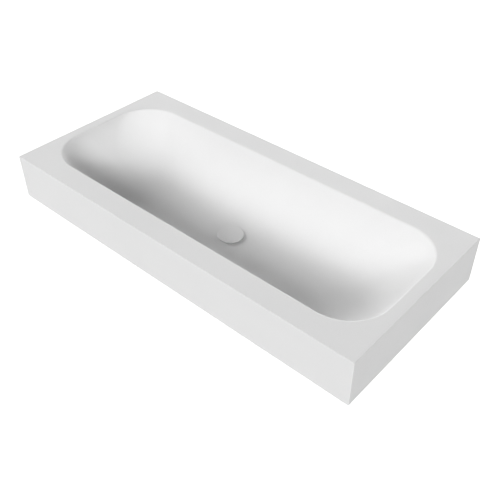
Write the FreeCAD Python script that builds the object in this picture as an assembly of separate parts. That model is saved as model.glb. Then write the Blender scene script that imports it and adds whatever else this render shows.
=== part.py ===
"""Wall-hung washbasin with one long cast bowl and a push-to-open waste.

Lengths are in millimetres. The origin is midway between the two wall fixing
holes, on the wall plane: +X points right, +Y into the wall and +Z up.
"""

import FreeCAD, Part
import math
import os

Vector = FreeCAD.Vector

# The slab
basin_width = 1000.0
basin_depth = 460.0
basin_height = 118.0
fixing_drop = 60.0
edge_round = 1.4
deck_thick = 12.0
front_apron = 12.0
side_apron = 20.0
back_apron = 12.0
pocket_round = 10.0
overrun = 5.0

# The bowl: its rim stands in from the slab's sides, and its walls follow curves
bowl_depth = 117.0
front_land = 58.7
back_land = 59.9
end_land = 29.7
rim_round = 98.8
lip_round = 7.0
bowl_wall = 9.0
floor_thick = 10.0
end_power_share = 6.25
end_fall_share = 1.67
front_power_share = 2.8
front_fall_share = 1.45
back_power_share = 3.58
back_fall_share = 0.94
corner_fall_share = 1.15
floor_fall = 1.0
drain_circle = 16.0
drain_blend_share = 4.0
ring_count = 20
ring_spacing_share = 2.2
rim_steps = 100
search_count = 40

# The waste hole and its land in the bowl's floor
waste_setback = 237.0
hole_radius = 23.0
pad_radius = 45.0
pad_drop = 4.0
recess_depth = 1.8
recess_gap = 0.5

# The two wall fixings
fixing_spacing = 280.0
boss_radius = 28.0
boss_depth = 12.0
fixing_hole = 8.0
bush_gap = 0.2
bush_bore = 5.25
bush_flange = 16.0
bush_flange_thick = 3.0

# The waste's body
flange_radius = 29.0
flange_thick = 1.6
flange_edge = 0.5
seat_radius = 21.0
bore_radius = 18.0
thread_radius = 20.95
waste_length = 90.0
outlet_chamfer = 1.2
tail_thread = 38.0
relief_width = 5.0
relief_depth = 1.2
hub_radius = 8.0
hub_height = 9.0
hub_thread = 4.0
spoke_count = 4
spoke_thick = 3.0
spoke_height = 6.0

# The seals and the clamp below the floor
seal_thick = 0.6
seal_gap = 0.25
under_seal_radius = 29.0
under_seal_thick = 5.0
under_nose = 4.0
under_nose_gap = 0.4
slip_radius = 30.0
slip_thick = 1.5
nut_across_flats = 52.0
nut_height = 9.0
corner_slope_share = 0.5

# The cover and its carrier
cover_radius = 31.75
cover_thick = 3.0
cover_round = 0.9
cover_gap = 1.6
carrier_radius = 19.0
carrier_top = 2.0
groove_radius = 14.5
groove_height = 2.5
carrier_foot_radius = 16.5
carrier_foot = 2.6
carrier_hub_radius = 8.0
carrier_hub = 3.5
plug_seal_thick = 1.9
plug_seal_gap = 0.3

# The stud, its nut and the plunger
stud_radius = 3.0
stud_in_carrier = 7.0
stud_in_plunger = 8.0
stud_bevel = 0.5
lock_nut_flats = 10.0
lock_nut_height = 4.0
plunger_radius = 4.5
plunger_length = 18.0
plunger_socket = 10.0
collar_radius = 6.0
collar_thick = 2.0
spigot_radius = 2.5

# The latch's stroke, cam drum and spring
stroke = 9.0
drum_radius = 6.3
drum_length = 14.0
drum_gap = 0.1
groove_width = 2.4
cam_depth = 1.6
ramp_angle = 45.0
ramp_stations = 4
washer_radius = 6.2
washer_thick = 1.0
clip_radius = 4.0
clip_thick = 0.8
clip_groove = 0.6
clip_opening = 3.4
spigot_tip = 1.2
wire_radius = 0.5
spring_radius = 5.3
spring_length = 13.0
live_turns = 4
end_turns = 1
end_turn_gap = 0.45

# The latch's housing
sleeve_bore = 6.6
sleeve_radius = 8.5
sleeve_floor = 2.5
sleeve_tail = 8.0
cap_thick = 2.5
cap_neck = 2.2
cap_flats = 16.0
cap_gap = 0.05
stop_gap = 0.3
pin_radius = 1.0
pin_gap = 0.25

# Levels and places that follow from the sizes above
deck_level = fixing_drop
base_level = deck_level - basin_height
floor_level = deck_level - bowl_depth
pad_level = floor_level - floor_thick - pad_drop
front_face = -basin_depth
rim_front = front_face + front_land
rim_back = -back_land
rim_reach = basin_width / 2 - end_land
waste_y = -waste_setback
recess_radius = flange_radius + recess_gap
flange_level = floor_level - recess_depth + seal_thick + flange_thick
outlet_level = flange_level - waste_length
cover_level = flange_level + cover_gap
carrier_groove_top = cover_level - carrier_top
carrier_groove_foot = carrier_groove_top - groove_height
carrier_foot_level = carrier_groove_foot - carrier_foot
carrier_level = carrier_foot_level - carrier_hub
plunger_top = carrier_level - lock_nut_height
collar_top = plunger_top - plunger_length
drum_top = collar_top - collar_thick - drum_gap
drum_foot = drum_top - drum_length
washer_top = drum_foot - drum_gap
washer_foot = washer_top - washer_thick
clip_foot = washer_foot - clip_thick
spring_foot = washer_foot - spring_length
sleeve_foot = spring_foot - sleeve_floor
cap_foot = collar_top + stroke + stop_gap
sleeve_top = cap_foot + cap_neck
spigot_foot = clip_foot - spigot_tip
pin_level = drum_top - (drum_length - stroke) / 2


def turned(profile):
    """A solid of revolution about the waste's axis, from a closed outline of (radius, level)."""
    points = [Vector(radius, 0, level) for radius, level in profile]
    face = Part.Face(Part.makePolygon(points + points[:1]))
    solid = face.revolve(Vector(0, 0, 0), Vector(0, 0, 1), 360)
    return solid.translated(Vector(0, waste_y, 0))


def rod(radius, foot, top):
    """A cylinder on the waste's axis between two levels."""
    return Part.makeCylinder(radius, top - foot, Vector(0, waste_y, foot))


def ring(inner, outer, foot, top):
    """A plain ring on the waste's axis between two levels."""
    return rod(outer, foot, top).cut(rod(inner, foot, top))


def hexagon(flats, foot, top):
    """A hexagon prism on the waste's axis, with its corners turned down at both ends."""
    corner = flats / 2 / math.cos(math.radians(30))
    turned_down = (corner - flats / 2) * corner_slope_share
    turns = [math.radians(60 * side) for side in range(6)]
    points = [Vector(corner * math.cos(turn), waste_y + corner * math.sin(turn), foot) for turn in turns]
    prism = Part.Face(Part.makePolygon(points + points[:1])).extrude(Vector(0, 0, top - foot))
    blank = turned([
        (0, foot), (flats / 2, foot), (corner, foot + turned_down),
        (corner, top - turned_down), (flats / 2, top), (0, top),
    ])
    return prism.common(blank)


def reach(depth_share, power_share, fall_share):
    """Share of the rim's reach that is left at a share of the bowl's depth."""
    return (1 - depth_share ** fall_share) ** (1 / power_share)


def bowl_outline(depth_share, growth):
    """Half length, front, back and corner radius of the bowl at a share of its depth."""
    half_x = rim_reach * reach(depth_share, end_power_share, end_fall_share) + growth
    toward_front = (waste_y - rim_front) * reach(depth_share, front_power_share, front_fall_share)
    toward_back = (rim_back - waste_y) * reach(depth_share, back_power_share, back_fall_share)
    front = waste_y - toward_front - growth
    back = waste_y + toward_back + growth
    half_y = (back - front) / 2
    rim_half = (rim_back - rim_front) / 2
    squareness = (1 - rim_round / rim_half) * (1 - depth_share) ** corner_fall_share
    return half_x, front, back, half_y * (1 - squareness)


def holds(outline, x, y):
    """Whether a bowl outline, a rectangle with round corners, holds a place at x of zero or more."""
    half_x, front, back, radius = outline
    if x > half_x or y < front or y > back:
        return False
    along = x - (half_x - radius)
    across = max(front + radius - y, y - (back - radius))
    return along < 0 or across < 0 or math.hypot(along, across) <= radius


def depth_share_at(x, y, growth):
    """Share of the bowl's depth at a place: the deepest outline that still holds it."""
    low, high = 0.0, 1.0
    for _ in range(search_count):
        middle = (low + high) / 2
        if holds(bowl_outline(middle, growth), x, y):
            low = middle
        else:
            high = middle
    return low


def rim_place(share, growth):
    """Place at a share of the way round the right half of the rim, from mid front to mid back."""
    half_x, front, back, radius = bowl_outline(0, growth)
    if share > 0.5:
        x, y = rim_place(1 - share, growth)
        return x, front + back - y
    straight = half_x - radius
    bend = radius * math.pi / 2
    end = back - front - 2 * radius
    way = share * (2 * straight + 2 * bend + end)
    if way < straight:
        return way, front
    if way < straight + bend:
        angle = (way - straight) / radius
        return straight + radius * math.sin(angle), front + radius - radius * math.cos(angle)
    return half_x, front + radius + way - straight - bend


def bowl_rings(depth, growth):
    """Rings of points on the bowl's curved walls, from the rim down to a circle round the waste."""
    rings = []
    for number in range(ring_count + 1):
        inward = (number / ring_count) ** ring_spacing_share
        points = []
        for step in range(rim_steps + 1):
            rim_x, rim_y = rim_place(step / rim_steps, growth)
            angle = math.pi * (step / rim_steps - 0.5)
            x = rim_x + inward * (drain_circle * math.cos(angle) - rim_x)
            y = rim_y + inward * (waste_y + drain_circle * math.sin(angle) - rim_y)
            share = depth_share_at(x, y, growth) if number else 0
            share += (1 - share) * inward ** drain_blend_share
            fall = floor_fall * (1 - inward)
            points.append(Vector(x, y, deck_level - (depth - fall) * share))
        rings.append(points)
    return rings


def clamped(pole_count):
    """Knots and their counts for a smooth cubic row of poles that starts and ends on its own ends."""
    spans = pole_count - 3
    return list(range(spans + 1)), [4] + [1] * (spans - 1) + [4]


def bowl_form(depth, growth):
    """The bowl's form as a solid: two mirrored curved walls between the deck and a small flat floor."""
    rings = bowl_rings(depth, growth)
    down_knots, down_counts = clamped(len(rings))
    round_knots, round_counts = clamped(len(rings[0]))
    surface = Part.BSplineSurface()
    surface.buildFromPolesMultsKnots(rings, down_counts, round_counts, down_knots, round_knots, False, False, 3, 3)
    right = surface.toShape()
    left = right.mirror(Vector(0, 0, 0), Vector(1, 0, 0))
    caps = []
    for level in (deck_level, deck_level - depth):
        rims = []
        for edge in right.Edges + left.Edges:
            box = edge.BoundBox
            if box.ZLength < lip_round / 100 and abs(box.ZMin - level) < lip_round / 100:
                rims.append(edge)
        caps.append(Part.Face(Part.Wire(Part.sortEdges(rims)[0])))
    shell = Part.makeShell([right, left] + caps)
    shell.sewShape()
    return Part.makeSolid(shell)


def belly_form():
    """The outside of the bowl's shell, from half way down the deck's thickness."""
    corner = Vector(-basin_width / 2, front_face, pad_level)
    below_deck = Part.makeBox(basin_width, basin_depth, deck_level - deck_thick / 2 - pad_level, corner)
    return bowl_form(bowl_depth + floor_thick, bowl_wall).common(below_deck)


def slab():
    """The slab's outer block with its edges eased."""
    corner = Vector(-basin_width / 2, front_face, base_level)
    block = Part.makeBox(basin_width, basin_depth, basin_height, corner)
    return block.makeFillet(edge_round, block.Edges)


def pocket():
    """The hollow under the deck, open below, with its upright corners rounded."""
    width = basin_width - 2 * side_apron
    depth = basin_depth - front_apron - back_apron
    height = basin_height - deck_thick + overrun
    corner = Vector(-width / 2, front_face + front_apron, base_level - overrun)
    block = Part.makeBox(width, depth, height, corner)
    upright = [edge for edge in block.Edges if edge.BoundBox.ZLength > height / 2]
    return block.makeFillet(pocket_round, upright)


def fixing_places():
    """Where the two wall fixings are along X."""
    return (-fixing_spacing / 2, fixing_spacing / 2)


def basin_body():
    """The cast body: slab, bowl, hollow underside, waste pad and fixing bosses."""
    belly = belly_form()
    body = slab().fuse(belly).cut(bowl_form(bowl_depth, 0))
    body = soften_lip(body)
    body = body.cut(pocket().cut(belly))
    body = body.fuse(rod(pad_radius, pad_level, floor_level - floor_thick / 2))
    into_room = Vector(0, -1, 0)
    for x in fixing_places():
        length = boss_depth + back_apron / 2
        body = body.fuse(Part.makeCylinder(boss_radius, length, Vector(x, -back_apron / 2, 0), into_room))
    body = body.cut(rod(hole_radius, pad_level - overrun, floor_level + overrun))
    body = body.cut(rod(recess_radius, floor_level - recess_depth, floor_level + overrun))
    for x in fixing_places():
        length = back_apron + boss_depth + 2 * overrun
        body = body.cut(Part.makeCylinder(fixing_hole, length, Vector(x, overrun, 0), into_room))
    return body.removeSplitter()


def soften_lip(body):
    """Rounds the edge between the deck and the bowl's walls."""
    rim = []
    for edge in body.Edges:
        box = edge.BoundBox
        on_deck = abs(box.ZMin - deck_level) < lip_round / 100 and box.ZLength < lip_round / 100
        inside = box.YMax < -back_land / 2 and box.YMin > front_face + front_land / 2
        if on_deck and inside:
            rim.append(edge)
    return body.makeFillet(lip_round, rim)


def wall_fixing_bushes():
    """Two flanged bushes, pushed into the fixing holes from inside the apron."""
    depth = back_apron + boss_depth
    outer = fixing_hole - bush_gap
    profile = (
        (bush_bore, 0), (outer, 0), (outer, -depth), (bush_flange, -depth),
        (bush_flange, -depth - bush_flange_thick), (bush_bore, -depth - bush_flange_thick),
    )
    bushes = []
    for x in fixing_places():
        points = [Vector(radius, y, 0) for radius, y in profile]
        face = Part.Face(Part.makePolygon(points + points[:1]))
        bush = face.revolve(Vector(0, 0, 0), Vector(0, 1, 0), 360)
        bushes.append(bush.translated(Vector(x, 0, 0)))
    return Part.makeCompound(bushes)


def waste_body():
    """The waste: flange, conical seat, tail with a relief between its threads, and the latch's cross."""
    seat_foot = flange_level - (seat_radius - bore_radius)
    flange_foot = flange_level - flange_thick
    relief_foot = outlet_level + outlet_chamfer + tail_thread
    relief_radius = thread_radius - relief_depth
    shell = turned([
        (seat_radius, flange_level), (flange_radius - flange_edge, flange_level),
        (flange_radius, flange_level - flange_edge), (flange_radius, flange_foot),
        (thread_radius, flange_foot), (thread_radius, relief_foot + relief_width),
        (relief_radius, relief_foot + relief_width), (relief_radius, relief_foot),
        (thread_radius, relief_foot), (thread_radius, outlet_level + outlet_chamfer),
        (thread_radius - outlet_chamfer, outlet_level), (bore_radius, outlet_level),
        (bore_radius, seat_foot),
    ])
    spoke_foot = sleeve_foot - hub_height
    cross = rod(hub_radius, spoke_foot, sleeve_foot)
    for number in range(spoke_count):
        length = (bore_radius + thread_radius) / 2
        corner = Vector(0, -spoke_thick / 2, spoke_foot)
        spoke = Part.makeBox(length, spoke_thick, spoke_height, corner)
        spoke.rotate(Vector(0, 0, 0), Vector(0, 0, 1), 360 / spoke_count * number)
        cross = cross.fuse(spoke.translated(Vector(0, waste_y, 0)))
    cross = cross.cut(rod(hub_thread, spoke_foot - overrun, sleeve_foot + overrun))
    return shell.fuse(cross).removeSplitter()


def flange_seal():
    """The flat seal in the recess, under the waste's flange."""
    foot = floor_level - recess_depth
    return ring(thread_radius + seal_gap, flange_radius - flange_edge, foot, foot + seal_thick)


def under_seal():
    """The tapered rubber below the pad, with a nose that centres it in the hole."""
    inner = thread_radius + seal_gap
    foot = pad_level - under_seal_thick
    nose = hole_radius - under_nose_gap
    return turned([
        (inner, foot), (under_seal_radius, foot), (under_seal_radius, pad_level),
        (nose, pad_level), (nose - under_nose_gap, pad_level + under_nose),
        (inner, pad_level + under_nose),
    ])


def slip_washer():
    """The smooth ring that lets the nut turn without dragging the rubber."""
    top = pad_level - under_seal_thick
    return ring(thread_radius + seal_gap, slip_radius, top - slip_thick, top)


def back_nut():
    """The hexagon nut that clamps the waste from below."""
    top = pad_level - under_seal_thick - slip_thick
    nut = hexagon(nut_across_flats, top - nut_height, top)
    return nut.cut(rod(thread_radius, top - nut_height - overrun, top + overrun))


def waste_cover():
    """The flat round cover, with a softened edge."""
    disc = rod(cover_radius, cover_level, cover_level + cover_thick)
    rims = [edge for edge in disc.Edges if edge.BoundBox.ZLength < cover_round / 100]
    return disc.makeFillet(cover_round, rims)


def plug_carrier():
    """The moulded disc below the cover, with a groove for its seal and a threaded hub."""
    carrier = turned([
        (0, cover_level), (carrier_radius, cover_level), (carrier_radius, carrier_groove_top),
        (groove_radius, carrier_groove_top), (groove_radius, carrier_groove_foot),
        (carrier_foot_radius, carrier_groove_foot), (carrier_foot_radius, carrier_foot_level),
        (carrier_hub_radius, carrier_foot_level), (carrier_hub_radius, carrier_level), (0, carrier_level),
    ])
    return carrier.cut(rod(stud_radius, carrier_level - overrun, carrier_level + stud_in_carrier))


def plug_seal():
    """The rubber ring that closes on the conical seat, which its rim follows at a gap."""
    top = carrier_groove_top
    foot = top - plug_seal_thick
    across = plug_seal_gap * math.sqrt(2)
    rim_top = seat_radius - (flange_level - top) - across
    rim_foot = seat_radius - (flange_level - foot) - across
    return turned([(groove_radius, foot), (rim_foot, foot), (rim_top, top), (groove_radius, top)])


def height_stud():
    """The threaded stud that joins the carrier and the plunger."""
    foot = plunger_top - stud_in_plunger
    top = carrier_level + stud_in_carrier
    return turned([
        (0, foot), (stud_radius - stud_bevel, foot), (stud_radius, foot + stud_bevel),
        (stud_radius, top - stud_bevel), (stud_radius - stud_bevel, top), (0, top),
    ])


def lock_nut():
    """The nut that locks the stud between the carrier and the plunger."""
    nut = hexagon(lock_nut_flats, plunger_top, carrier_level)
    return nut.cut(rod(stud_radius, plunger_top - overrun, carrier_level + overrun))


def latch_plunger():
    """The plunger: a guided stem, a stop collar and a spigot for the drum, with a clip groove."""
    neck = spigot_radius - clip_groove
    stem = turned([
        (0, plunger_top), (plunger_radius, plunger_top), (plunger_radius, collar_top),
        (collar_radius, collar_top), (collar_radius, collar_top - collar_thick),
        (spigot_radius, collar_top - collar_thick), (spigot_radius, washer_foot),
        (neck, washer_foot), (neck, clip_foot), (spigot_radius, clip_foot),
        (spigot_radius, spigot_foot), (0, spigot_foot),
    ])
    return stem.cut(rod(stud_radius, plunger_top - plunger_socket, plunger_top + overrun))


def cam_ramp(turn, side):
    """A cutter for one ramp, from a low end of the groove up to the next high end on one side."""
    rise = Vector(0, side * math.radians(ramp_angle) * drum_radius, stroke).normalize()
    across = Vector(1, 0, 0).cross(rise) * (groove_width / 2)
    deep = Vector(cam_depth, 0, 0)
    wires = []
    for station in range(ramp_stations + 1):
        share = station / ramp_stations
        centre = Vector(drum_radius, 0, pin_level - stroke * (1 - share))
        corners = [centre - deep - across, centre + deep - across, centre + deep + across, centre - deep + across]
        wire = Part.makePolygon(corners + corners[:1])
        wire.rotate(Vector(0, 0, 0), Vector(0, 0, 1), turn + side * ramp_angle * share)
        wires.append(wire)
    return Part.makeLoft(wires, True, True).translated(Vector(0, waste_y, 0))


def cam_end(turn, level):
    """A cutter for the rounded end where two ramps meet."""
    angle = math.radians(turn)
    outward = Vector(math.cos(angle), math.sin(angle), 0)
    foot = outward * (drum_radius - cam_depth) + Vector(0, waste_y, level)
    return Part.makeCylinder(groove_width / 2, 2 * cam_depth, foot, outward)


def latch_rotor():
    """The cam drum: a zigzag groove round it turns it one ramp for each stroke."""
    drum = ring(spigot_radius + drum_gap, drum_radius, drum_foot, drum_top)
    for number in range(round(360 / ramp_angle)):
        turn = ramp_angle * number
        drum = drum.cut(cam_end(turn, pin_level - stroke * (number % 2)))
        if number % 2:
            drum = drum.cut(cam_ramp(turn, 1)).cut(cam_ramp(turn, -1))
    return drum


def rotor_washer():
    """The thrust washer between the drum and the spring."""
    return ring(spigot_radius + drum_gap, washer_radius, washer_foot, washer_top)


def rotor_clip():
    """The spring clip in the plunger's groove, open at one side."""
    clip = ring(spigot_radius - clip_groove, clip_radius, clip_foot, washer_foot)
    corner = Vector(0, waste_y - clip_opening / 2, clip_foot)
    return clip.cut(Part.makeBox(clip_radius + overrun, clip_opening, clip_thick, corner))


def spring_levels():
    """Levels of the wire's centre at each half turn: close end turns with wider live turns between."""
    end_pitch = 2 * wire_radius + end_turn_gap
    live_pitch = (spring_length - 2 * wire_radius - 2 * end_turns * end_pitch) / live_turns
    pitches = [end_pitch] * (2 * end_turns) + [live_pitch] * (2 * live_turns) + [end_pitch] * (2 * end_turns)
    levels = [spring_foot + wire_radius]
    for pitch in pitches:
        levels.append(levels[-1] + pitch / 2)
    print("spring: least gap between turns", round(min(pitches) - 2 * wire_radius, 3), "mm")
    return levels


def latch_spring():
    """The compression spring: round wire along half turns that tilt to and fro."""
    levels = spring_levels()
    arcs = []
    for half, (low, high) in enumerate(zip(levels, levels[1:])):
        side = 1 if half % 2 == 0 else -1
        start = Vector(side * spring_radius, waste_y, low)
        middle = Vector(0, waste_y + side * spring_radius, (low + high) / 2)
        end = Vector(-side * spring_radius, waste_y, high)
        arcs.append(Part.Arc(start, middle, end).toShape())
    section = Part.makeCircle(wire_radius, Vector(spring_radius, waste_y, levels[0]), Vector(0, 1, 0))
    sweep = Part.BRepOffsetAPI.MakePipeShell(Part.Wire(arcs))
    sweep.add(Part.Wire(section))
    sweep.build()
    sweep.makeSolid()
    return sweep.shape()


def guide_pin():
    """The pin through the sleeve's wall, with its tip in the drum's groove."""
    tip = drum_radius - cam_depth + pin_gap
    start = Vector(tip, waste_y, pin_level)
    return Part.makeCylinder(pin_radius, sleeve_radius - tip, start, Vector(1, 0, 0))


def cartridge_sleeve():
    """The latch's housing, with a threaded tail for the cross and a hole for the guide pin."""
    sleeve = turned([
        (0, spring_foot), (sleeve_bore, spring_foot), (sleeve_bore, sleeve_top),
        (sleeve_radius, sleeve_top), (sleeve_radius, sleeve_foot),
        (hub_thread, sleeve_foot), (hub_thread, sleeve_foot - sleeve_tail), (0, sleeve_foot - sleeve_tail),
    ])
    hole = Part.makeCylinder(pin_radius, sleeve_radius + overrun, Vector(0, waste_y, pin_level), Vector(1, 0, 0))
    return sleeve.cut(hole)


def cartridge_cap():
    """The guide nut that closes the sleeve: a hexagon above and a neck inside."""
    head = hexagon(cap_flats, sleeve_top, sleeve_top + cap_thick)
    cap = head.fuse(rod(sleeve_bore, cap_foot, sleeve_top))
    bore = plunger_radius + cap_gap
    return cap.cut(rod(bore, cap_foot - overrun, sleeve_top + cap_thick + overrun)).removeSplitter()


PIECES = (
    basin_body,
    wall_fixing_bushes,
    waste_body,
    flange_seal,
    under_seal,
    slip_washer,
    back_nut,
    waste_cover,
    plug_carrier,
    plug_seal,
    height_stud,
    lock_nut,
    latch_plunger,
    latch_rotor,
    rotor_washer,
    rotor_clip,
    latch_spring,
    guide_pin,
    cartridge_sleeve,
    cartridge_cap,
)

os.makedirs("parts", exist_ok=True)
for make in PIECES:
    shape = make()
    sound = shape.isValid() and all(solid.isClosed() for solid in shape.Solids)
    print(make.__name__, "solids", len(shape.Solids), "sound", sound, "volume", round(shape.Volume, 1))
    shape.exportStep("parts/" + make.__name__ + ".step")
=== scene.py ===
"""Looks of a wall-hung washbasin: smooth surfaces, finishes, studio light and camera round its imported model."""

import math

import bpy
import numpy as np
from mathutils import Matrix


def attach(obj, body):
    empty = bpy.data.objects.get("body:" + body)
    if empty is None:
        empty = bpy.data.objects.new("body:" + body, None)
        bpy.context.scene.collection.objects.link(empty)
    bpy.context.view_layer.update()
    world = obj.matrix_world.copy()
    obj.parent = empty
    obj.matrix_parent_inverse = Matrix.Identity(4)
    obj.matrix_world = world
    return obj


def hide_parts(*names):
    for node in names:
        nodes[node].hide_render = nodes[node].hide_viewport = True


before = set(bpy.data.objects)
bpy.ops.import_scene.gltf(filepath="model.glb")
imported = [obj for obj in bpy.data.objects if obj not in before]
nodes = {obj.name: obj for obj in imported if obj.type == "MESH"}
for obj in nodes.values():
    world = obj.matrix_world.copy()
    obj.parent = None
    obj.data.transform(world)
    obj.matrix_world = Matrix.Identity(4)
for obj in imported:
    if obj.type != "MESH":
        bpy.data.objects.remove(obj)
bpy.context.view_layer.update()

# The slab, in metres, in the model's own frame
WIDTH, DEPTH = 1.0, 0.46
DECK, BASE, UNDER_DECK = 0.060, -0.058, 0.048
SLAB_EDGE, EDGE_STEPS = 0.0014, 8
# How far the last loops on the deck and on the aprons stop short of the slab's edges
DECK_LOOP, APRON_LOOP = 0.0022, 0.0024
SHARP_CORNER = 0.00004
POCKET = {"half_x": 0.480, "front": -0.448, "back": -0.012, "corner": 0.010}
POCKET_EASE = 0.0006

# The bowl: its rim, the curves of its walls as (power, fall), and its outside. The lip is rounder in the solid
# (7 mm), and tighter here, which shades more like the photograph.
BOWL_DEEP, SHELL, BELLY_DEEP = 0.117, 0.009, 0.127
RIM_X, RIM_FRONT, RIM_BACK = 0.4703, -0.4013, -0.0599
RIM_CORNER, LIP, LIP_STEPS, LIP_MARGIN = 0.0988, 0.0035, 13, 0.0008
END_CURVE, FRONT_CURVE, BACK_CURVE, CORNER_FALL = (6.25, 1.67), (2.8, 1.45), (3.58, 0.94), 1.15

# The walls' loops end at a share of the depth, where the floor's loops take over
WALL_END = 0.93
WALL_ROWS, WALL_BUNCH, FLOOR_ROWS = 58, 1.25, 44
BELLY_ROWS, UNDER_ROWS = 40, 22
HALVINGS = 34

# The floor falls to the waste, the first share of it along the wall
FLOOR_FALL, WALL_SHARE = 0.001, 0.27

# The waste hole in the basin
WASTE_Y = -0.237
HOLE, RECESS, RECESS_DEEP, PAD, PAD_LEVEL = 0.023, 0.0295, 0.0018, 0.045, -0.071
HOLE_EASE, RECESS_EASE, PAD_EASE, FOOT_EASE = 0.0004, 0.00012, 0.0008, 0.0006

# The waste itself
FLANGE, FLANGE_TOP, FLANGE_FOOT, FLANGE_EASE = 0.029, -0.0566, -0.0582, 0.0005
SEAT, SEAT_FOOT, BORE, BORE_EASE = 0.021, -0.0596, 0.018, 0.0002
THREAD, THREAD_DEEP, PITCH, THREAD_ROWS, THREAD_FADE = 0.02095, 0.00148, 0.002309, 10, 0.0012
NUT_FOOT, THREAD_HIDDEN = -0.0865, 0.003
RELIEF_TOP, RELIEF_FOOT, RELIEF_DEEP, RELIEF_EASE = -0.1024, -0.1074, 0.0012, 0.0003
OUTLET = -0.1466
HUB, HUB_HOLE, HUB_EASE = 0.008, 0.004, 0.0005
CROSS_TOP, CROSS_FOOT = -0.1203, -0.1293
SPOKES, SPOKE_WIDE, SPOKE_HIGH, SPOKE_EDGE = 4, 0.003, 0.006, 0.0007
SPOKE_IN, SPOKE_OUT = HUB - 0.002, BORE + 0.0015

# The wall fixings: plugs along Y, added as bosses and cut as holes
FIXING_X, BOSS, FIXING_HOLE = 0.14, 0.028, 0.008
BOSS_SPAN, HOLE_SPAN = (-0.006, -0.024), (0.004, -0.030)

# Spans along a long side, a short side and a corner of every loop round the basin, and round turned forms
LONG, SHORT, CORNER = 76, 30, 20
WASTE_SPANS, HUB_SPANS, SPOKE_SPANS, PLUG_SPANS = 112, 64, 32, 72
SMOOTH_UP_TO = math.radians(32)

# The camera: where it looks from, in degrees, its place, and its lens and sensor in millimetres
VIEW_AZIMUTH, VIEW_ELEVATION, VIEW_ROLL = 41.5492, 40.0438, 0.0147
VIEW_PLACE = (0.89267907, -1.17506728, 0.98532944)
LENS, SENSOR = 50.22, 36

# The floor under the wall-hung basin, and how the floor and the backdrop are seen
FLOOR_LEVEL, FLOOR_REACH = -2.0, 9
FLOOR_PAINT, FLOOR_GLOW, SEEN_WHITE = 0.8, 0.6, 0.991


# ---------------------------------------------------------------- shapes

def columns():
    """Shares that carry each column of a loop: how far along x and y its corner centre lies, and its outward way."""
    along_x, along_y, angle = [], [], []
    signs = ((1, 1), (-1, 1), (-1, -1), (1, -1))
    for number, (sx, sy) in enumerate(signs):
        nx, ny = signs[(number + 1) % 4]
        start = math.pi / 2 * number
        bend = np.linspace(0, 1, CORNER + 1)
        along_x.append(np.full(CORNER + 1, float(sx)))
        along_y.append(np.full(CORNER + 1, float(sy)))
        angle.append(start + bend * math.pi / 2)
        spans = LONG if number in (0, 2) else SHORT
        share = np.linspace(0, 1, spans + 1)[1:-1]
        along_x.append(sx + (nx - sx) * share)
        along_y.append(sy + (ny - sy) * share)
        angle.append(np.full(spans - 1, start + math.pi / 2))
    return np.concatenate(along_x), np.concatenate(along_y), np.concatenate(angle)


ALONG_X, ALONG_Y, ANGLE = columns()


def loop(half_x, front, back, corner, level):
    """A level loop round a rectangle with rounded corners: corner centre plus corner radius times the outward way."""
    half_y = (back - front) / 2
    x = ALONG_X * (half_x - corner) + corner * np.cos(ANGLE)
    y = (front + back) / 2 + ALONG_Y * (half_y - corner) + corner * np.sin(ANGLE)
    return np.stack([x, y, np.full(len(x), level)], 1)


def round_loop(radius, level, angle):
    """A level circle about the waste's axis, with its points at the given angles."""
    return np.stack([radius * np.cos(angle), WASTE_Y + radius * np.sin(angle), np.full(len(angle), level)], 1)


def left_of(share, curve):
    """What is left of the rim's reach at a share of the depth: (1 - share^fall)^(1/power)."""
    power, fall = curve
    return np.clip(1 - share ** fall, 0, 1) ** (1 / power)


def bowl_outline(share, growth):
    """Half length, front, back and corner radius of the bowl, or of its grown outside, at a share of its depth.
    Each side lies at the rim's reach from the waste times what is left of it, plus the growth. The corner radius goes
    from the rim's own to half the width at the floor, with the share left to the power of the corner's fall."""
    half_x = RIM_X * left_of(share, END_CURVE) + growth
    front = WASTE_Y - (WASTE_Y - RIM_FRONT) * left_of(share, FRONT_CURVE) - growth
    back = WASTE_Y + (RIM_BACK - WASTE_Y) * left_of(share, BACK_CURVE) + growth
    half_y = (back - front) / 2
    square = (1 - RIM_CORNER / ((RIM_BACK - RIM_FRONT) / 2)) * (1 - share) ** CORNER_FALL
    return half_x, front, back, half_y * (1 - square)


def share_at(x, y, growth):
    """Share of the depth over each place: the deepest outline that still holds it, found by halving."""
    low, high = np.zeros_like(x), np.ones_like(x)
    for _ in range(HALVINGS):
        middle = (low + high) / 2
        half_x, front, back, corner = bowl_outline(middle, growth)
        along = np.abs(x) - (half_x - corner)
        across = np.maximum(front + corner - y, y - (back - corner))
        inside = (np.abs(x) <= half_x) & (y >= front) & (y <= back)
        inside &= (along < 0) | (across < 0) | (np.hypot(along, across) <= corner)
        low, high = np.where(inside, middle, low), np.where(inside, high, middle)
    return low


def wall_loops(shares, deep, growth):
    """Loops down a bowl's wall: its outline at each share of the depth, less the floor's slow fall."""
    loops = []
    for share in shares:
        fall = FLOOR_FALL * (1 - WALL_SHARE * share / WALL_END)
        loops.append(loop(*bowl_outline(share, growth), DECK - (deep - fall) * share))
    return loops


def floor_loops(outer, radius, deep, growth, count):
    """Loops from a wall's last one to a circle round the waste: places in a straight line, heights by the bowl's
    form, blended to the flat floor with the cube of the share gone."""
    angle = np.arctan2(outer[:, 1] - WASTE_Y, outer[:, 0])
    inner = round_loop(radius, 0, angle)
    loops = []
    for number in range(1, count + 1):
        gone = number / count
        place = outer + (inner - outer) * gone
        share = share_at(place[:, 0], place[:, 1], growth)
        share = share + (1 - share) * gone ** 3
        fall = FLOOR_FALL * (1 - WALL_SHARE) * (1 - gone)
        place[:, 2] = DECK - (deep - fall) * share
        loops.append(place)
    return loops, angle


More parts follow.
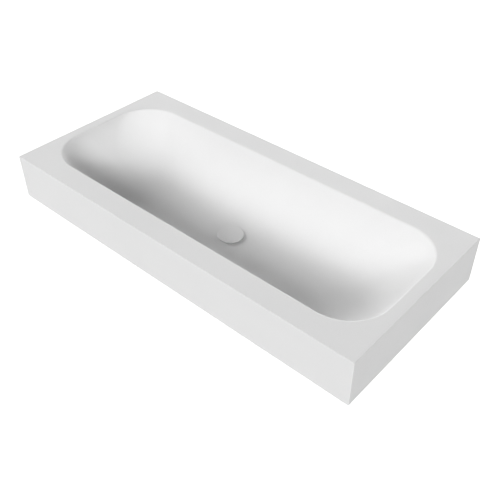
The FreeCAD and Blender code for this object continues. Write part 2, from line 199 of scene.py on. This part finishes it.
def edge_loops(level, way):
    """Loops round the slab's eased edge, a quarter circle from a flat face.
    The way is +1 from the deck and -1 from the foot."""
    loops = []
    for turn in np.linspace(0, math.pi / 2, EDGE_STEPS):
        back_in = SLAB_EDGE * (1 - math.sin(turn))
        corner = max(SLAB_EDGE * math.sin(turn), SHARP_CORNER)
        height = level - way * SLAB_EDGE * (1 - math.cos(turn))
        loops.append(loop(WIDTH / 2 - back_in, -DEPTH + back_in, -back_in, corner, height))
    return loops


def built_mesh(name, sheets):
    """A mesh from sheets of loops with equally many points, each (loops, whether its last loop joins its first).
    Quads join every loop to the next, and a sheet that doesn't close on itself gets a flat cap at each end."""
    places, corners, starts = [], [], []
    points, used = 0, 0
    for loops, closed in sheets:
        rings = np.array(loops)
        rows, spans = rings.shape[:2]
        index = points + np.arange(rows * spans).reshape(rows, spans)
        here = index if closed else index[:-1]
        after = np.roll(index, -1, 0) if closed else index[1:]
        quads = np.stack([here, np.roll(here, -1, 1), np.roll(after, -1, 1), after], -1).reshape(-1, 4)
        corners.append(quads.ravel())
        starts.append(used + np.arange(0, quads.size, 4))
        used += quads.size
        if not closed:
            corners += [index[0][::-1], index[-1]]
            starts.append(used + np.array([0, spans]))
            used += 2 * spans
        places.append(rings.reshape(-1, 3))
        points += rows * spans
    mesh = bpy.data.meshes.new(name)
    mesh.vertices.add(points)
    mesh.vertices.foreach_set("co", np.concatenate(places).astype(np.float32).ravel())
    mesh.loops.add(used)
    mesh.loops.foreach_set("vertex_index", np.concatenate(corners).astype(np.int32))
    mesh.polygons.add(sum(len(start) for start in starts))
    mesh.polygons.foreach_set("loop_start", np.concatenate(starts).astype(np.int32))
    mesh.update(calc_edges=True)
    mesh.validate()
    return mesh


def place_piece(mesh, name, body, stands_for):
    """An object of a finished mesh, smooth but for its sharp edges, that rides on a body for the node it replaces."""
    mesh.shade_smooth()
    mesh.set_sharp_from_angle(angle=SMOOTH_UP_TO)
    piece = bpy.data.objects.new(name, mesh)
    bpy.context.scene.collection.objects.link(piece)
    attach(piece, body)
    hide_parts(stands_for)


def basin_loops():
    """Loops of the whole cast body, from the waste hole's foot up through the bowl, over the deck, down the aprons
    and back under the hollow to the hole."""
    floor_level = DECK - BOWL_DEEP
    recess_level = floor_level - RECESS_DEEP
    down = np.linspace(0, 1, WALL_ROWS) ** WALL_BUNCH * (WALL_END - LIP / BOWL_DEEP) + LIP / BOWL_DEEP
    wall = wall_loops(down, BOWL_DEEP, 0)
    floor, angle = floor_loops(wall[-1], RECESS + HOLE_EASE, BOWL_DEEP, 0, FLOOR_ROWS)
    waste_hole = [
        (HOLE, PAD_LEVEL + FOOT_EASE), (HOLE, recess_level - HOLE_EASE), (HOLE + HOLE_EASE, recess_level),
        (RECESS, recess_level), (RECESS, floor_level - HOLE_EASE), (RECESS + RECESS_EASE, floor_level - RECESS_EASE),
    ]
    loops = [round_loop(radius, level, angle) for radius, level in waste_hole]
    loops += floor[::-1] + wall[::-1]
    for turn in np.linspace(math.pi / 2, 0, LIP_STEPS)[1:]:
        height = LIP * (1 - math.cos(turn))
        out = LIP * (1 - math.sin(turn))
        half_x, front, back, corner = bowl_outline(height / BOWL_DEEP, 0)
        loops.append(loop(half_x + out, front - out, back + out, corner + out, DECK - height))
    half_x, front, back, corner = bowl_outline(0, 0)
    out = LIP + LIP_MARGIN
    loops.append(loop(half_x + out, front - out, back + out, corner + out, DECK))
    loops.append(loop(WIDTH / 2 - DECK_LOOP, -DEPTH + DECK_LOOP, -DECK_LOOP, SHARP_CORNER, DECK))
    loops += edge_loops(DECK, 1)
    loops.append(loop(WIDTH / 2, -DEPTH, 0, SLAB_EDGE, DECK - APRON_LOOP))
    loops.append(loop(WIDTH / 2, -DEPTH, 0, SLAB_EDGE, BASE + APRON_LOOP))
    loops += edge_loops(BASE, -1)[::-1]
    inner = (POCKET["half_x"], POCKET["front"], POCKET["back"], POCKET["corner"])
    eased = (inner[0] + POCKET_EASE, inner[1] - POCKET_EASE, inner[2] + POCKET_EASE, inner[3] + POCKET_EASE)
    loops.append(loop(*eased, BASE))
    loops.append(loop(*inner, BASE + POCKET_EASE))
    loops.append(loop(*inner, UNDER_DECK))
    belly_start = (DECK - UNDER_DECK) / BELLY_DEEP
    belly = wall_loops(np.linspace(belly_start, WALL_END, BELLY_ROWS), BELLY_DEEP, SHELL)
    under, pad_angle = floor_loops(belly[-1], PAD, BELLY_DEEP, SHELL, UNDER_ROWS)
    loops += belly + under
    loops.append(round_loop(PAD, PAD_LEVEL + PAD_EASE, pad_angle))
    loops.append(round_loop(PAD - PAD_EASE, PAD_LEVEL, pad_angle))
    loops.append(round_loop(HOLE + FOOT_EASE, PAD_LEVEL, angle))
    return loops


def round_angles(spans):
    """Even angles once round a circle."""
    return np.linspace(0, 2 * math.pi, spans, endpoint=False)


def turned_loops(profile, angle):
    """Loops of a form turned about the waste's axis, one for each (radius, level) of its profile."""
    return [round_loop(radius, level, angle) for radius, level in profile]


def plugs(name, radius, depths):
    """Two round plugs along Y at the wall fixings, from one depth to a deeper one."""
    angle = round_angles(PLUG_SPANS)
    sheets = []
    for x in (-FIXING_X, FIXING_X):
        loops = [np.stack([x + radius * np.cos(angle), np.full(PLUG_SPANS, depth), radius * np.sin(angle)], 1)
                 for depth in depths]
        sheets.append((loops, False))
    return built_mesh(name, sheets)


def joined(mesh, tool_mesh, way):
    """The mesh after a tool mesh is added to it or cut from it."""
    work = bpy.data.objects.new("work", mesh)
    tool = bpy.data.objects.new("tool", tool_mesh)
    for thing in (work, tool):
        bpy.context.scene.collection.objects.link(thing)
    step = work.modifiers.new("step", "BOOLEAN")
    step.operation = way
    step.solver = "EXACT"
    step.object = tool
    depsgraph = bpy.context.evaluated_depsgraph_get()
    result = bpy.data.meshes.new_from_object(work.evaluated_get(depsgraph))
    for thing in (work, tool):
        bpy.data.objects.remove(thing)
    return result


def thread_loops(top, foot, angle):
    """Loops down a threaded length: the outside radius less a rounded groove, which fades out at both ends. The
    groove is a half less half the cosine of the turns gone, times the thread's depth."""
    loops = []
    for level in np.linspace(top, foot, int(THREAD_ROWS * (top - foot) / PITCH)):
        turns = level / PITCH - angle / (2 * math.pi)
        fade = min(1.0, min(top - level, level - foot) / THREAD_FADE)
        groove = THREAD_DEEP * fade * (0.5 - 0.5 * np.cos(2 * math.pi * turns))
        loops.append(round_loop(THREAD - groove, level, angle))
    return loops


def spoke_loops(turn):
    """Loops of one spoke of the cross: a bar with round edges, along a line out from the waste's axis."""
    angle = round_angles(SPOKE_SPANS)
    side = (SPOKE_WIDE / 2 - SPOKE_EDGE) * np.sign(np.cos(angle)) + SPOKE_EDGE * np.cos(angle)
    height = (SPOKE_HIGH / 2 - SPOKE_EDGE) * np.sign(np.sin(angle)) + SPOKE_EDGE * np.sin(angle)
    loops = []
    for way in (SPOKE_IN, SPOKE_OUT):
        x = way * math.cos(turn) - side * math.sin(turn)
        y = WASTE_Y + way * math.sin(turn) + side * math.cos(turn)
        loops.append(np.stack([x, y, CROSS_FOOT + SPOKE_HIGH / 2 + height], 1))
    return loops


def waste_mesh():
    """The waste: flange and conical seat, threads above and below the relief, bore, and the cross with its hub."""
    angle = round_angles(WASTE_SPANS)
    corner = 0.3 * FLANGE_EASE
    relief = THREAD - RELIEF_DEEP
    flange = [
        (SEAT, FLANGE_TOP), (FLANGE - FLANGE_EASE, FLANGE_TOP), (FLANGE - corner, FLANGE_TOP - corner),
        (FLANGE, FLANGE_TOP - FLANGE_EASE), (FLANGE, FLANGE_FOOT), (THREAD, FLANGE_FOOT),
    ]
    groove = [(THREAD, RELIEF_TOP), (relief, RELIEF_TOP - RELIEF_EASE), (relief, RELIEF_FOOT + RELIEF_EASE)]
    inside = [(relief, OUTLET), (BORE + BORE_EASE, OUTLET), (BORE, OUTLET + BORE_EASE), (BORE, SEAT_FOOT)]
    shell = turned_loops(flange, angle)
    shell += thread_loops(NUT_FOOT + THREAD_HIDDEN, RELIEF_TOP, angle)
    shell += turned_loops(groove, angle)
    shell += thread_loops(RELIEF_FOOT, OUTLET + THREAD_FADE, angle)
    shell += turned_loops(inside, angle)
    hub = [
        (HUB_HOLE + HUB_EASE, CROSS_FOOT), (HUB - HUB_EASE, CROSS_FOOT), (HUB, CROSS_FOOT + HUB_EASE),
        (HUB, CROSS_TOP), (HUB_HOLE, CROSS_TOP), (HUB_HOLE, CROSS_FOOT + HUB_EASE),
    ]
    sheets = [(shell[::-1], True), (turned_loops(hub, round_angles(HUB_SPANS)), True)]
    for number in range(SPOKES):
        sheets.append((spoke_loops(2 * math.pi / SPOKES * number), False))
    return built_mesh("waste", sheets)


# ---------------------------------------------------------------- finishes

# How far apart a wave texture's rings lie at a scale of 1
RINGS_APART = 0.31


def new_finish(name):
    """An empty node material with its shader and the piece's own coordinates."""
    material = bpy.data.materials.new(name)
    material.use_nodes = True
    tree = material.node_tree
    tree.nodes.clear()
    output = tree.nodes.new("ShaderNodeOutputMaterial")
    shader = tree.nodes.new("ShaderNodeBsdfPrincipled")
    tree.links.new(shader.outputs["BSDF"], output.inputs["Surface"])
    place = tree.nodes.new("ShaderNodeTexCoord").outputs["Object"]
    return material, tree, shader, place


def clouds(tree, place, size, detail=3.0, rough=0.5):
    """Soft random clouds of about the given size in metres."""
    noise = tree.nodes.new("ShaderNodeTexNoise")
    noise.inputs["Scale"].default_value = 1 / size
    noise.inputs["Detail"].default_value = detail
    noise.inputs["Roughness"].default_value = rough
    tree.links.new(place, noise.inputs["Vector"])
    return noise.outputs["Fac"]


def between(tree, factor, low, high):
    """A value that runs from low to high over the middle of the factor's range."""
    ranged = tree.nodes.new("ShaderNodeMapRange")
    for socket, value in (("From Min", 0.3), ("From Max", 0.7), ("To Min", low), ("To Max", high)):
        ranged.inputs[socket].default_value = value
    tree.links.new(factor, ranged.inputs["Value"])
    return ranged.outputs["Result"]


def tinted(tree, factor, first, second, start=0.3, end=0.7):
    """A colour that runs from the first to the second as the factor runs from start to end."""
    ramp = tree.nodes.new("ShaderNodeValToRGB")
    ramp.color_ramp.elements[0].position = start
    ramp.color_ramp.elements[1].position = end
    ramp.color_ramp.elements[0].color = (*first, 1)
    ramp.color_ramp.elements[1].color = (*second, 1)
    tree.links.new(factor, ramp.inputs["Fac"])
    return ramp.outputs["Color"]


def bumped(tree, height, deep, strength, under=None):
    """A bump of the given depth in metres, on top of another one if that is given."""
    bump = tree.nodes.new("ShaderNodeBump")
    bump.inputs["Strength"].default_value = strength
    bump.inputs["Distance"].default_value = deep
    tree.links.new(height, bump.inputs["Height"])
    if under is not None:
        tree.links.new(under, bump.inputs["Normal"])
    return bump.outputs["Normal"]


def turning_marks(tree, place, spacing):
    """Fine rings round the waste's axis, as a lathe leaves them."""
    centred = tree.nodes.new("ShaderNodeMapping")
    centred.inputs["Location"].default_value = (0, -WASTE_Y, 0)
    tree.links.new(place, centred.inputs["Vector"])
    wave = tree.nodes.new("ShaderNodeTexWave")
    wave.wave_type = "RINGS"
    wave.rings_direction = "SPHERICAL"
    wave.inputs["Scale"].default_value = RINGS_APART / spacing
    wave.inputs["Distortion"].default_value = 0.6
    tree.links.new(centred.outputs["Vector"], wave.inputs["Vector"])
    return wave.outputs["Fac"]


def cast_resin():
    """Matt white cast resin: hardly visible clouds, mineral specks, and a fine blasted skin."""
    material, tree, shader, place = new_finish("cast_resin")
    wide = tinted(tree, clouds(tree, place, 0.16, 4.0), (0.774, 0.774, 0.774), (0.790, 0.790, 0.790))
    specks = tinted(tree, clouds(tree, place, 0.0011, 2.0, 0.7), (0.965, 0.965, 0.965), (1.0, 1.0, 1.0), 0.34, 0.5)
    mixed = tree.nodes.new("ShaderNodeMix")
    mixed.data_type = "RGBA"
    mixed.blend_type = "MULTIPLY"
    mixed.inputs["Factor"].default_value = 1.0
    tree.links.new(wide, mixed.inputs["A"])
    tree.links.new(specks, mixed.inputs["B"])
    tree.links.new(mixed.outputs["Result"], shader.inputs["Base Color"])
    tree.links.new(between(tree, clouds(tree, place, 0.05, 3.0), 0.56, 0.66), shader.inputs["Roughness"])
    shader.inputs["IOR"].default_value = 1.49
    shader.inputs["Specular IOR Level"].default_value = 0.35
    skin = bumped(tree, clouds(tree, place, 0.0009, 2.0, 0.6), 0.000012, 0.6)
    tree.links.new(bumped(tree, clouds(tree, place, 0.02, 2.0), 0.00006, 0.35, skin), shader.inputs["Normal"])
    return material


def moulded(name, first, second, low, high, grain, deep):
    """Moulded plastic or rubber: two close tones in clouds, uneven roughness and a fine grain."""
    material, tree, shader, place = new_finish(name)
    tone = tinted(tree, clouds(tree, place, 0.012, 3.0), first, second)
    tree.links.new(tone, shader.inputs["Base Color"])
    tree.links.new(between(tree, clouds(tree, place, 0.006, 3.0), low, high), shader.inputs["Roughness"])
    tree.links.new(bumped(tree, clouds(tree, place, grain, 2.0, 0.6), deep, 0.7), shader.inputs["Normal"])
    return material


def metal(name, first, second, low, high, spacing, deep):
    """Turned or plated metal: close tones, roughness that wanders, fine turning marks and handling scuffs."""
    material, tree, shader, place = new_finish(name)
    shader.inputs["Metallic"].default_value = 1.0
    tone = tinted(tree, clouds(tree, place, 0.009, 4.0), first, second)
    tree.links.new(tone, shader.inputs["Base Color"])
    tree.links.new(between(tree, clouds(tree, place, 0.004, 4.0, 0.6), low, high), shader.inputs["Roughness"])
    marks = bumped(tree, turning_marks(tree, place, spacing), deep, 0.5)
    tree.links.new(bumped(tree, clouds(tree, place, 0.0014, 3.0), deep, 0.4, marks), shader.inputs["Normal"])
    return material


# ---------------------------------------------------------------- stage

def camera():
    """The camera where the photograph was taken from, looking down on the basin from the front right."""
    azimuth, elevation, roll = (math.radians(turn) for turn in (VIEW_AZIMUTH, VIEW_ELEVATION, VIEW_ROLL))
    level_reach, rise = math.cos(elevation), math.sin(elevation)
    back = np.array([math.sin(azimuth) * level_reach, -math.cos(azimuth) * level_reach, rise])
    right = np.cross((0.0, 0.0, 1.0), back)
    right /= np.linalg.norm(right)
    up = np.cross(back, right)
    turned_right = math.cos(roll) * right + math.sin(roll) * up
    turned_up = math.cos(roll) * up - math.sin(roll) * right
    data = bpy.data.cameras.new("camera")
    data.lens, data.sensor_width = LENS, SENSOR
    item = bpy.data.objects.new("camera", data)
    bpy.context.scene.collection.objects.link(item)
    placed = np.eye(4)
    placed[:3, :3] = np.stack([turned_right, turned_up, back], 1)
    placed[:3, 3] = VIEW_PLACE
    item.matrix_world = Matrix(placed.tolist())
    bpy.context.scene.camera = item


# Soft lamps: azimuth from the front towards the right, elevation, width in degrees, and strength
LAMPS = (
    (-157.5, 6, 26, 1.763), (-135, 6, 26, 0.505), (-135, 20, 26, 0.173), (-90, 20, 26, 1.708), (90, 20, 26, 0.622),
    (157.5, 20, 26, 0.224), (0, 27, 12, 0.626), (30, 27, 12, 0.878), (45, 27, 12, 0.702), (0, 41, 12, 0.626),
)


def lamps():
    """Far lamps, each an even disc of light of its own width."""
    for number, (azimuth, elevation, width, strength) in enumerate(LAMPS):
        data = bpy.data.lights.new("softbox_%d" % number, "SUN")
        data.energy = strength
        data.angle = math.radians(width)
        item = bpy.data.objects.new("softbox_%d" % number, data)
        bpy.context.scene.collection.objects.link(item)
        item.rotation_euler = (math.radians(90 - elevation), 0, math.radians(azimuth))


def shown_white(tree, shader, plain):
    """A shader that gives way to a plain one for what the camera, a mirror or glass sees."""
    ray = tree.nodes.new("ShaderNodeLightPath")
    first = tree.nodes.new("ShaderNodeMath")
    first.operation = "MAXIMUM"
    tree.links.new(ray.outputs["Is Camera Ray"], first.inputs[0])
    tree.links.new(ray.outputs["Is Glossy Ray"], first.inputs[1])
    second = tree.nodes.new("ShaderNodeMath")
    second.operation = "MAXIMUM"
    tree.links.new(first.outputs["Value"], second.inputs[0])
    tree.links.new(ray.outputs["Is Transmission Ray"], second.inputs[1])
    mixed = tree.nodes.new("ShaderNodeMixShader")
    tree.links.new(second.outputs["Value"], mixed.inputs["Fac"])
    tree.links.new(shader, mixed.inputs[1])
    tree.links.new(plain, mixed.inputs[2])
    return mixed.outputs["Shader"]


def studio():
    """A world that gives no light but is seen as white, and a pale floor far below that is lit and takes the basin's
    shadow but is seen almost white."""
    world = bpy.data.worlds.new("studio")
    bpy.context.scene.world = world
    world.use_nodes = True
    tree = world.node_tree
    tree.nodes.clear()
    output = tree.nodes.new("ShaderNodeOutputWorld")
    dark = tree.nodes.new("ShaderNodeBackground")
    dark.inputs["Color"].default_value = (1, 1, 1, 1)
    dark.inputs["Strength"].default_value = 0.0
    bright = tree.nodes.new("ShaderNodeBackground")
    bright.inputs["Color"].default_value = (1, 1, 1, 1)
    bright.inputs["Strength"].default_value = SEEN_WHITE
    tree.links.new(shown_white(tree, dark.outputs[0], bright.outputs[0]), output.inputs["Surface"])

    mesh = bpy.data.meshes.new("floor")
    corners = [(x * FLOOR_REACH, y * FLOOR_REACH, FLOOR_LEVEL) for x, y in ((-1, -1), (1, -1), (1, 1), (-1, 1))]
    mesh.from_pydata(corners, [], [(0, 1, 2, 3)])
    floor = bpy.data.objects.new("floor", mesh)
    bpy.context.scene.collection.objects.link(floor)
    material = bpy.data.materials.new("pale_floor")
    material.use_nodes = True
    tree = material.node_tree
    tree.nodes.clear()
    output = tree.nodes.new("ShaderNodeOutputMaterial")
    paint = tree.nodes.new("ShaderNodeBsdfDiffuse")
    paint.inputs["Color"].default_value = (FLOOR_PAINT, FLOOR_PAINT, FLOOR_PAINT, 1)
    glow = tree.nodes.new("ShaderNodeEmission")
    glow.inputs["Strength"].default_value = FLOOR_GLOW
    lit = tree.nodes.new("ShaderNodeAddShader")
    tree.links.new(paint.outputs[0], lit.inputs[0])
    tree.links.new(glow.outputs[0], lit.inputs[1])
    tree.links.new(shown_white(tree, paint.outputs[0], lit.outputs[0]), output.inputs["Surface"])
    mesh.materials.append(material)


# ---------------------------------------------------------------- making

camera()
studio()
lamps()

resin = cast_resin()
FINISHES = {
    "wall_fixing_bushes": moulded("natural_nylon", (0.66, 0.65, 0.58), (0.71, 0.70, 0.64), 0.42, 0.55, 0.0008,
                                  0.00001),
    "waste_body": metal("chrome_plate", (0.80, 0.81, 0.83), (0.86, 0.87, 0.88), 0.06, 0.13, 0.0006, 0.000002),
    "back_nut": metal("bare_brass", (0.66, 0.48, 0.22), (0.74, 0.57, 0.30), 0.24, 0.38, 0.0005, 0.000006),
    "under_seal": moulded("black_rubber", (0.018, 0.018, 0.018), (0.03, 0.03, 0.03), 0.62, 0.78, 0.0006, 0.00002),
    "latch_plunger": moulded("grey_acetal", (0.15, 0.16, 0.17), (0.19, 0.20, 0.21), 0.36, 0.48, 0.0009, 0.000008),
    "height_stud": metal("stainless_steel", (0.56, 0.56, 0.57), (0.64, 0.64, 0.65), 0.2, 0.32, 0.0004, 0.000004),
}
SAME = {
    "wall_fixing_bushes": ("slip_washer", "plug_carrier", "cartridge_sleeve"),
    "under_seal": ("flange_seal", "plug_seal"),
    "latch_plunger": ("latch_rotor", "rotor_washer", "cartridge_cap"),
    "height_stud": ("lock_nut", "rotor_clip", "latch_spring", "guide_pin"),
}


def dress(name, material):
    """Gives a model node its finish."""
    data = nodes[name].data
    data.materials.clear()
    data.materials.append(material)


for name, material in FINISHES.items():
    for node in (name,) + SAME.get(name, ()):
        dress(node, material)
dress("waste_cover", resin)

body = built_mesh("basin", [(basin_loops()[::-1], True)])
body = joined(body, plugs("bosses", BOSS, BOSS_SPAN), "UNION")
body = joined(body, plugs("holes", FIXING_HOLE, HOLE_SPAN), "DIFFERENCE")
body.materials.clear()
body.materials.append(resin)
place_piece(body, "cast_basin", "basin", "basin_body")

waste = waste_mesh()
waste.materials.append(FINISHES["waste_body"])
place_piece(waste, "threaded_waste", "basin", "waste_body")

bpy.context.scene.view_settings.view_transform = "Standard"
